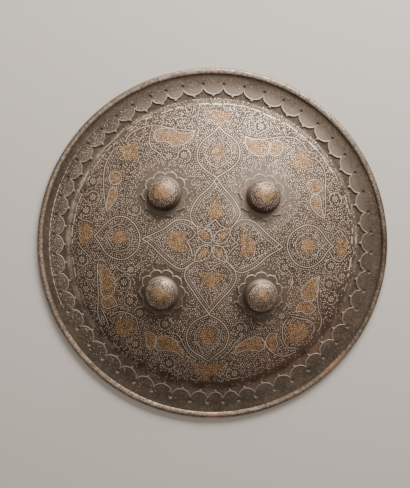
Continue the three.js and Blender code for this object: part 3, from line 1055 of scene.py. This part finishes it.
# Places of the dome's pattern, in the picture's pixels, across and down
flower_centre = (212.6, 244.0)
petal_tips = [(197.4, 226.3), (231.1, 229.0), (194.6, 261.5), (226.5, 262.0)]
lozenges = [
    [(205.2, 225.9), (215.2, 219.4), (226, 228.2)],
    [(230.6, 234.5), (238.5, 244.4), (228.6, 254.8)],
    [(221.6, 262.6), (210.4, 270.3), (203.8, 262.4)],
    [(192.4, 256.6), (186.7, 241.6), (196.2, 232.4)],
]
hearts = [
    [[(196.5, 227), (192, 221), (190.4, 214.8), (193, 206), (199, 197), (210, 187), (216.8, 177.8)],
     [(216.8, 177.8), (223, 187), (233.4, 199), (239, 209), (240, 215), (236, 222), (231, 228.6)]],
    [[(194, 262), (190, 264.7), (182.6, 268.9), (175, 266.6), (163, 257), (151, 245), (141.9, 238.8)],
     [(141.9, 238.8), (151, 235), (165, 228), (175, 220.8), (183, 219.6), (190, 221.5), (196.5, 227)]],
    [[(231, 228.6), (237, 221.8), (245.5, 219.4), (255.6, 223), (269.5, 236), (282.9, 247.2)],
     [(282.9, 247.2), (267.7, 256.4), (255.6, 266.6), (242, 272.6), (233.4, 269), (227, 261.5)]],
    [[(227, 261.5), (234, 269), (236.2, 278.6), (231.5, 288.5), (219.6, 301), (208.9, 313.8)],
     [(208.9, 313.8), (200, 301.7), (191.8, 289.7), (184.8, 277.5), (187, 268), (194, 262)]],
]
heart_golds = [
    [(215.9, 198.6), (219.5, 205), (223.2, 211.5), (220.5, 216.5), (214.9, 219.2), (210, 216.5), (208.6, 211),
     (212, 205)],
    [(168, 236), (174, 231.5), (181, 231.5), (186.5, 236.5), (185, 243), (187.5, 249.5), (180, 252), (171, 249),
     (167.5, 242.5)],
    [(241, 236), (246, 234.3), (251, 238), (256, 243), (255.5, 249.5), (251.5, 254), (246, 256), (240.5, 253.5),
     (241.5, 245)],
    [(200, 274.5), (205.5, 271.8), (210.6, 274), (216, 271.6), (222, 275), (219.5, 281.5), (210.4, 288.6),
     (203.5, 282.5)],
]
medallions = [
    [[(216.3, 177.2), (207, 171), (199.5, 163.5), (197.2, 156.2), (198.8, 147.5), (204.5, 139.5), (212.5, 133.5),
      (219.2, 126.3)],
     [(219.2, 126.3), (224.5, 132.5), (233, 138), (238.3, 145), (239.9, 152.4), (238, 161), (231, 168.5),
      (224, 173), (216.9, 177.2)]],
    [[(94.2, 235.8), (98.5, 232), (103.9, 225.5), (108.3, 221.1), (114.8, 217.3), (120.2, 216.3), (127.2, 217.9),
      (133.2, 222.8), (137, 228.2), (139.7, 235.2), (139.2, 243.4), (137, 249.9), (131, 255.8), (124.5, 259.1),
      (117.5, 259.1), (110.4, 256.4), (105, 252), (101.2, 245.5), (98, 240.7), (94.2, 235.8)]],
    [[(333.6, 246), (329.8, 243), (326.1, 238.7), (322.3, 232.9), (317.5, 228), (312.1, 225.6), (305.7, 225.1),
      (298.7, 228), (293.4, 231.8), (289.6, 236.6), (287.5, 244.6), (288, 250), (292.3, 259.6), (298.7, 265),
      (305.7, 267.4), (312.1, 266.6), (317.5, 263.4), (322.8, 258.6), (326.6, 252.7), (330.9, 247.8),
      (333.6, 246)]],
    [[(208.3, 361.2), (201.7, 356.7), (194.9, 352.7), (189.7, 347.6), (187.1, 341.8), (186.5, 336.6), (188, 329.8),
      (191.4, 324.6), (197, 319.8), (208.5, 314.5)],
     [(209.2, 314.5), (219.5, 320.3), (225.3, 326.3), (228.4, 332.6), (228.7, 336.6), (227, 343), (223.6, 349.3),
      (216.7, 354.4), (208.3, 361.2)]],
]
# Middle, size and tip of the gold heart in each medallion
medallion_hearts = [
    ((217.9, 153), 7, (219.2, 142.2)),
    ((120.2, 236.9), 6.6, (112.5, 236.5)),
    ((308.4, 246.4), 7.6, (317.5, 246.6)),
    ((207.5, 337), 7.5, (207.2, 347.6)),
]
outer_palmettes = [
    [(209.5, 117), (213, 112.5), (219, 110.5), (226, 113), (230.5, 117.5), (226, 122.5), (219.3, 125.8),
     (213.5, 122.5)],
    [(79, 232), (80.5, 226.5), (86.5, 223.8), (92, 228.5), (92.5, 236), (88.5, 242.5), (83, 246), (79.5, 239)],
    [(335.8, 246), (337.5, 240.5), (342.5, 238.5), (348, 243.5), (347.8, 248.5), (343.5, 255), (337.5, 257),
     (335.5, 251.5)],
    [(193.5, 366.5), (199, 363.8), (206.5, 365.5), (215, 363.8), (220.5, 367), (216.5, 372.5), (211, 375.5),
     (206.6, 380), (201.5, 375.5), (197, 372)],
]
diagonal_palmettes = [
    [(119.5, 148.5), (126, 146.5), (131, 142.5), (137.5, 142.8), (138.2, 150), (137, 157.5), (130, 159.5),
     (122.5, 157.5)],
    [(294, 158), (297.5, 152.5), (303.5, 151.8), (309, 155.5), (311.5, 161), (309.5, 168), (303, 171.5),
     (296, 169.5), (292.8, 164)],
    [(114.5, 327), (117, 320.5), (124, 319.3), (131.5, 319.5), (133, 327), (131.5, 334), (125, 337),
     (118.5, 335.5)],
    [(288.5, 325), (295, 323.5), (302, 323.8), (308, 327), (306.5, 335), (300.5, 342), (293, 343), (289, 335)],
]
# Gold leaves with a silver edge, each through its own points from tip to tip
leaves = [
    [(195, 130.8), (185, 133.8), (179, 132.4), (171, 129.8), (163, 129), (156.5, 131.5), (154.8, 136), (158, 140.8),
     (165.5, 141.6), (174, 145.2), (182, 143.8), (190, 138.8), (195, 130.8)],
    [(245, 136.5), (252, 139.6), (260, 140), (267.5, 143), (269.5, 148.5), (266, 154), (258, 155), (251, 151),
     (246.5, 144), (245, 136.5)],
    [(268.8, 148.6), (271.5, 142.8), (277, 140.2), (282, 143), (283, 149), (279.5, 154.4), (274, 156), (270, 153.4),
     (268.8, 148.6)],
    [(306, 184.8), (310.5, 180.3), (316, 179.6), (321, 183), (322.3, 188.5), (319, 193), (313.5, 194.2),
     (309.5, 190), (306, 184.8)],
    [(311.5, 197), (315.5, 194.6), (320, 197), (321.3, 203.5), (322, 210), (324.5, 218), (318, 214.5), (312.5, 209),
     (310, 202.5), (311.5, 197)],
    [(115, 171.2), (120, 173.5), (121.6, 178.8), (118.5, 183.6), (112.5, 184), (109, 179.5), (110.5, 173.5),
     (115, 171.2)],
    [(114, 187), (117.5, 192), (116, 199), (112, 205), (106.7, 211), (106.5, 203), (108, 195), (110.5, 189),
     (114, 187)],
    [(97.7, 263.5), (104.5, 267.5), (110.5, 273.5), (114.3, 281), (114, 289), (110, 295.5), (104.5, 297),
     (101.3, 290), (100.8, 280), (98.5, 271), (97.7, 263.5)],
    [(117.7, 305.3), (112.5, 306.8), (108.4, 308.8), (104, 306.6), (101.6, 302.2), (103.5, 297.5), (108.4, 295.2),
     (113.5, 297.8), (117.7, 305.3)],
    [(144.7, 332.9), (148.8, 331.3), (153.9, 334.9), (156.9, 341), (155.4, 345.6), (150.8, 349.7), (146.6, 345.1),
     (145.9, 339), (144.7, 332.9)],
    [(183.1, 358.2), (182.2, 352.1), (178.8, 346.4), (175.9, 341.8), (171.9, 338.9), (165, 336.6), (158.5, 338.2),
     (155.5, 343.8), (158.5, 349.8), (165, 350.6), (174.2, 351.6), (178.8, 354.4), (183.1, 358.2)],
    [(319.2, 276.3), (312, 280), (305.5, 285.5), (302, 292), (303.5, 298.5), (309.5, 300.5), (315.5, 296.5),
     (317, 288.5), (317.3, 282), (319.2, 276.3)],
    [(296.5, 312.3), (296.5, 307.9), (299.6, 303.4), (306, 301.5), (312.4, 304), (315.5, 309), (311.5, 313),
     (306, 314), (301.5, 311.5), (296.5, 312.3)],
    [(277.3, 334), (270.9, 333.4), (266.5, 337.8), (265.8, 343.6), (269, 348.7), (274.1, 349.8), (277.8, 344.2),
     (276, 339.1), (277.3, 334)],
    [(235.6, 355.4), (235.2, 351.4), (237.5, 347.2), (242.5, 343), (248.2, 339.8), (255, 337.6), (261.5, 339.5),
     (264.2, 344.5), (261, 350), (254.6, 350.3), (246.5, 350), (239.6, 352.3), (235.6, 355.4)],
]
# Silver lines round the leaves and between the motifs
stems = [
    [(125.8, 142.3), (127.1, 137.9), (132.1, 132.5), (139.6, 128.5), (146.3, 126.5), (154, 125.2), (165, 127),
     (180, 129.6), (196, 130.6)],
    [(121.8, 146.3), (117.3, 147.2), (112.9, 150.8), (107.5, 160), (104.2, 171), (103.6, 186), (104.5, 198),
     (106.4, 211)],
    [(150.4, 132.1), (149.6, 138), (149.9, 144.1), (152.1, 148.6), (157.5, 152.1), (161.5, 155.3), (166, 160)],
    [(245, 136.2), (256, 139.2), (267.8, 138.8), (280.5, 137), (293.3, 137.6), (299.6, 141), (304.1, 145.5),
     (307.3, 151)],
    [(311.1, 157.7), (316.2, 159.3), (321.3, 164.4), (324.5, 170.8), (325.8, 179.7), (325.2, 192), (325.8, 206),
     (324.8, 218)],
    [(97.5, 263.5), (97.4, 275), (98, 287), (98.3, 299.2), (97.8, 311.9), (99.3, 318.6), (102.3, 325.2)],
    [(100.8, 307.9), (105.4, 316.5), (108.5, 325.2)],
    [(109.5, 317), (116.6, 312.4), (123.8, 311.9), (130.9, 314.5), (136, 318.6), (137.6, 324.7), (139.1, 329.8)],
    [(319.5, 276), (318.5, 288), (317.6, 299), (318.8, 311), (321.3, 318.1), (320.7, 325.7), (317.5, 332.1)],
    [(286.9, 319.3), (283.1, 325.7), (282.4, 334.6), (284.3, 342.3), (288.8, 347.4), (296.5, 348)],
    [(291, 316.5), (300, 318.6), (309.2, 320.6), (313.7, 325.1), (313.7, 331.5), (311.1, 334)],
    [(262, 337.8), (265.8, 344.9), (270.9, 351.2), (279.2, 355.7), (286.9, 355.7), (295.8, 351.9)],
    [(175.3, 333.2), (179.9, 337.2), (183.9, 345.8), (190.3, 354.4), (197.1, 359.6)],
    [(244.8, 334.4), (236.8, 340.7), (232.2, 347.6), (228.1, 352.7), (220.7, 358.5)],
    [(331.4, 237.1), (335.5, 233.5), (339.5, 230.7), (344.5, 236), (349.1, 243.5)],
    [(349.1, 251), (343.5, 258.5), (339.5, 261.4), (333.6, 258.6), (329.5, 251.5)],
    [(78, 216.5), (83.5, 220.3), (88, 221), (93, 223.5)],
    [(77, 241.5), (82, 248.5), (87.5, 254.5), (92, 259.5)],
    [(103.5, 149), (109.7, 143.7), (119.6, 134.3)],
    [(127.1, 129.4), (132.5, 125.8)],
    [(135.2, 123.6), (141, 119.8), (148, 117.2)],
    [(307.9, 141.5), (315.6, 149.1), (323.2, 156.1), (329, 162.5)],
    [(330.3, 167), (334.7, 173.3), (338, 181)],
    [(230.4, 367.6), (226.4, 373.2), (228.1, 377.4), (233.9, 378.8), (239.6, 376.8)],
    [(131.5, 268.5), (126, 272), (120.5, 270.5), (116, 265.5)],
    [(134, 268), (140, 262.8), (147, 260)],
    [(286, 268), (291.5, 274.5), (292, 283), (288.5, 291)],
]
small_flowers = [
    (93, 181), (93, 197), (86, 210), (135, 209), (184, 155), (169, 156), (261, 126.5), (335, 199), (82, 259.5),
    (90, 274), (86, 289), (130.5, 269.6), (124, 282), (130, 301), (140, 313), (165, 324), (135, 344), (169, 363),
    (285, 267), (291, 282), (331, 266), (342, 276), (329, 284), (331, 299), (282, 316), (240, 328), (234.5, 373.4)
]

# Gold panels on the bosses' caps, in the picture's pixels
boss_panels = {
    "upper_left": [(154.5, 186), (157, 184.3), (163, 183), (168.5, 184.2), (170.3, 190), (169.6, 197),
                   (163, 199), (155, 199.5), (153.6, 193)],
    "upper_right": [(255.5, 193.2), (260, 190.2), (264.5, 186), (270, 189.5), (275.2, 195.6), (270.5, 199.5),
                    (265.7, 203.6), (261, 199.3)],
    "lower_left": [(160.1, 284.9), (162.8, 289.3), (166.8, 292.3), (170.1, 296.1), (164.8, 300.8), (159.3, 305.7),
                   (155.3, 300.8), (149.8, 294.8), (154.8, 290.3)],
    "lower_right": [(258.5, 291), (263, 289), (267.5, 293), (269.5, 298.5), (266, 302.5), (262, 299),
                    (259, 296)],
}

boss_lines = {"upper_right": [[(258.7, 184.8), (262.5, 182.8), (267.9, 182.1), (272.8, 184.4), (274.2, 189.0)]]}

outline_width = 1.2
line_width = 1.0
thin_width = 0.75


def leaf_outline(base, tip, fullness):
    """Two bowed sides from the base to the tip of a pointed petal, in plan."""
    base, tip = np.asarray(base), np.asarray(tip)
    along = tip - base
    side = np.array([-along[1], along[0]]) * fullness
    t = np.linspace(0, 1, 14)[:, None]
    bow = side * 4 * t ** 0.75 * (1 - t)
    middle = base + along * t
    return middle + bow, middle - bow


def turning_of(path):
    """1 where a closed path runs counter-clockwise, -1 where it runs clockwise."""
    x, y = path.T
    return 1 if np.sum(x * np.roll(y, -1) - np.roll(x, -1) * y) > 0 else -1


def scalloped(outline, height=1.6, pitch=7.0, least=80.0):
    """The outline of a large leaf, with small bows along its full side."""
    along = np.r_[0, np.cumsum(np.hypot(*np.diff(outline, axis=0).T))]
    if along[-1] < least:
        return outline
    way = turning_of(outline)
    ahead = np.gradient(outline, axis=0)
    bend = way * np.gradient(np.unwrap(np.arctan2(ahead[:, 1], ahead[:, 0])))
    full = np.convolve(bend > 0.01, np.ones(7) / 7, mode="same")
    ends = np.clip(np.minimum(along, along[-1] - along) / 8, 0, 1)
    bows = height * np.abs(np.sin(math.pi * along / pitch)) * full * ends
    return outline - way * sides_of(outline) * bows[:, None]


def flow(x, y):
    """Direction of the scrolls at a place."""
    return 2.4 * math.sin(x / 9.1 + 1.7 * math.sin(y / 13.3)) + 2.1 * math.cos(y / 8.3 + 1.3 * math.sin(x / 11.7))


def filling_spots(chance, reach, pitch):
    """Even waving rows of spots first, then a fine net of spots for the gaps that they leave."""
    sway, net_pitch = 2.6, 0.9
    side = int(reach / pitch * 1.3) + 2
    rows = []
    for j in range(-side, side + 1):
        for i in range(-side, side + 1):
            x, y = (i + 0.5 * (j % 2)) * pitch, j * pitch * 0.866
            rows.append((x + sway * math.sin(y / 11), y + sway * math.sin(x / 13)))
    side = int(reach / net_pitch)
    net = [(i * net_pitch, j * net_pitch) for i in range(-side, side + 1) for j in range(-side, side + 1)]
    chance.shuffle(net)
    return rows + net


def draw_dome_pattern():
    """All that is laid into the dome, and the chart of where the gold ground is."""
    chart, chance = Chart(200.0), random.Random(11)
    silver, gold = Inlay(dome_point, chart, chance), Inlay(dome_point, chart, chance)
    middles = [seat.translation for seat in seats.values()]
    for middle in middles:
        chart.take_disc(middle.x, middle.y, washer_reach + 2)
    centre = on_dome([flower_centre])[0]
    for tip in on_dome(petal_tips):
        along = tip - centre
        for side in leaf_outline(centre + along * 0.09, tip, 0.235):
            silver.line(even_steps(side, 1.2), line_width, 0.9)
        inner = leaf_outline(centre + along * 0.22, centre + along * 0.92, 0.145)
        chart.mark_gold(np.vstack([inner[0], inner[1][::-1]]))
    for corners in lozenges:
        spots = on_dome(corners)
        for a, b in zip(spots, spots[1:]):
            bow = (a + b) / 2 + (centre - (a + b) / 2) * 0.06
            silver.line(smooth_path([a, bow, b]), line_width)
    for sides in hearts + medallions:
        paths = [smooth_path(on_dome(side)) for side in sides]
        for path in paths:
            silver.line(path, outline_width)
        for path in paths:
            silver.beads(path, -2.9)
            if sides in hearts:
                for run in runs_beside(path, -5.4):
                    silver.line(run, thin_width, 0.8)
            silver.beads(path, 2.9, radius=0.8 if sides in hearts else 0.85)
    for sides, (middle, size, point) in zip(medallions, medallion_hearts):
        middle, tip = on_dome([middle, point])
        for side in sides:
            inner = middle + 0.62 * (smooth_path(on_dome(side)) - middle)
            silver.line(even_steps(inner, 1.2), thin_width, 1.2)
        radius = size * 1.28
        turns = math.atan2(tip[1] - middle[1], tip[0] - middle[0]) + np.linspace(0.55, 2 * math.pi - 0.55, 16)
        chart.mark_gold(np.vstack([middle + around(radius, turns), [tip]]))
        silver.beads(middle + around(radius + 2, np.linspace(0, 2 * math.pi, 22)), 0.01, 3.0, 0.8)
    for corners in heart_golds + outer_palmettes + diagonal_palmettes:
        chart.mark_gold(smooth_path(on_dome(corners), closed=True))
    for points in leaves:
        outline = scalloped(smooth_path(on_dome(points), step=0.9))
        chart.mark_gold(outline)
        silver.line(outline, line_width, 0.9)
    for points in stems:
        silver.line(smooth_path(on_dome(points)), line_width)
    for spot in on_dome(small_flowers):
        silver.flower(spot)
    for points in leaves:
        outline = smooth_path(on_dome(points))
        silver.beads(outline, -2.7 * turning_of(outline), 3.0, 0.8)
    for spot in on_dome(small_flowers):
        silver.curl(spot)
    silver.broken_ring(shoulder_top, (0.35, 1, 1, 0.6, 0.8, 0.2, 0, 0), (0.8, 2.3))
    silver.broken_ring(shoulder_top + 4.8, (0.1, 0, 0, 0.15, 0.9, 0.2, 0, 0), (1.0, 2.8))

    def silver_odds(x, y):
        if chart.is_gold(x, y):
            return 0
        odds = 1.0 if math.hypot(x, y) < 172 else 0.75
        odds *= round_the_ring(math.atan2(y, x), (0.94, 1, 0.97, 0.78, 1, 1, 1, 1))
        for middle in middles:
            gap = math.hypot(x - middle.x, y - middle.y) - washer_reach
            odds = min(odds, max(0.0, (gap - 1) / 12))
        low_right = max(0.0, (x - y * 0.8 - 185) / 75)
        return odds * max(0.15, 1 - low_right)

    def shoulder_odds(x, y):
        if math.hypot(x, y) < shoulder_top - 2.5:
            return 0
        return round_the_ring(math.atan2(y, x), (0.25, 0.9, 0.85, 0.35, 0.8, 0.35, 0.1, 0.1))

    gold.fill(chart.is_gold, shoulder_top - 3, 2.5, 2.0, 0.3)
    silver.fill(silver_odds, shoulder_top - 2.5, 2.42, 1.95)
    silver.fill(shoulder_odds, shoulder_foot - 1, 2.3, 1.7)
    silver.lay("dome_silver", silver_finish, "dome_steel")
    gold.lay("dome_gold", gold_finish, "dome_steel")
    return chart


def draw_boss_pattern(name):
    """Silver leaves round a gold panel on a boss's cap."""
    matrix = np.array(seats[name])

    def lift(x, y, above):
        places = np.stack([x, y, boss_top(np.hypot(x, y)) + above], axis=-1)
        return places @ matrix[:3, :3].T + matrix[:3, 3]

    chart, chance = Chart(24.0), random.Random(20 + boss_places[name][0])
    silver, gold = Inlay(lift, chart, chance), Inlay(lift, chart, chance)
    panel = smooth_path(on_boss(boss_panels[name], name), closed=True, step=1.0)
    chart.mark_gold(panel)
    chart.take_path(panel, 0.9)
    for points in boss_lines.get(name, []):
        silver.line(smooth_path(on_boss(points, name), step=1.0), 0.9, 0.8)
    gold.fill(chart.is_gold, cap_radius - 1, 1.9, 1.6, 0.3)
    silver.fill(lambda x, y: 0 if chart.is_gold(x, y) else 1 - boss_wear_and_sheen[name], cap_radius - 0.9, 1.7, 1.35)
    silver.lay("boss_silver_" + name, silver_finish, "boss_steel")
    gold.lay("boss_gold_" + name, gold_finish, "boss_steel")
    return chart


def draw_border_line():
    """What is left of the silver on the border, at its left."""
    chart = Chart(216.0)
    silver = Inlay(lambda x, y, above: dome_point(x, y, seat_gap + border_wall + above), chart, random.Random(31))
    degrees = np.linspace(134, 202, 260)
    widths = np.interp(degrees, [134, 150, 165, 202], [0.3, 0.5, 1.1, 0.9])
    widths *= 0.75 + 0.45 * np.sin(degrees * 2.9 + 2 * np.sin(degrees * 0.7))
    silver.add(*strip(around(border_line_radius, np.radians(degrees)), widths))
    for x, y in lacing_holes:
        chart.take_disc(x, y, lacing_mouth + 1.4)

    def border_odds(x, y):
        turn = math.atan2(y, x)
        lobe = np.argmin(np.abs(np.angle(np.exp(1j * (tips - turn)))))
        half = (notches_after[lobe] - notches_before[lobe]) / 2
        share = np.angle(np.exp(1j * (turn - tips[lobe]))) / half
        reach = notch_radius - lobe_reach(share, lappet_depth, 0, lappet_nib_share)[0] + 2.6
        if math.hypot(x, y) < max(reach, notch_radius - lappet_depth):
            return 0
        return round_the_ring(turn, (0, 0, 0.03, 0.3, 0.65, 0.12, 0, 0))

    silver.fill(border_odds, 213, 2.1, 1.3, 0.1)
    silver.lay("border_silver", silver_finish, "border_steel")


def make_stage():
    deselect()
    bpy.ops.mesh.primitive_plane_add(size=8, location=(0, 0, 0))
    floor = bpy.context.object
    floor.name = "floor"
    finish, _, shader = new_finish("pale floor")
    shader.inputs["Base Color"].default_value = (0.74, 0.72, 0.69, 1)
    shader.inputs["Roughness"].default_value = 0.9
    floor.data.materials.append(finish)


def make_light(name, place, size, power, colour=(1, 0.93, 0.86)):
    data = bpy.data.lights.new(name, "AREA")
    data.shape = "RECTANGLE"
    data.size, data.size_y = size
    data.energy = power
    data.color = colour
    light = put_in_scene(name, data)
    light.location = place
    light.rotation_euler = (-Vector(place)).to_track_quat("-Z", "Y").to_euler()


def make_lights():
    make_light("large soft light", (0.45, 1.3, 0.82), (1.4, 0.6), 43)
    make_light("soft light above", (0.1, 0.3, 2.3), (1.6, 1.2), 10)
    world = bpy.data.worlds.new("room")
    bpy.context.scene.world = world
    world.use_nodes = True
    world.node_tree.nodes["Background"].inputs[0].default_value = (1.0, 0.83, 0.68, 1)
    world.node_tree.nodes["Background"].inputs[1].default_value = 0.16


dome_chart = draw_dome_pattern()
drills, shank_drills = lacing_cutter(), shank_cutter()
make_dome(drills, shank_drills, dome_chart)
make_border(drills)
bpy.data.objects.remove(drills)
bpy.data.objects.remove(shank_drills)
make_binding()
for boss in boss_places:
    make_washer(boss)
    make_boss(boss, draw_boss_pattern(boss))
draw_border_line()
make_stage()
make_lights()
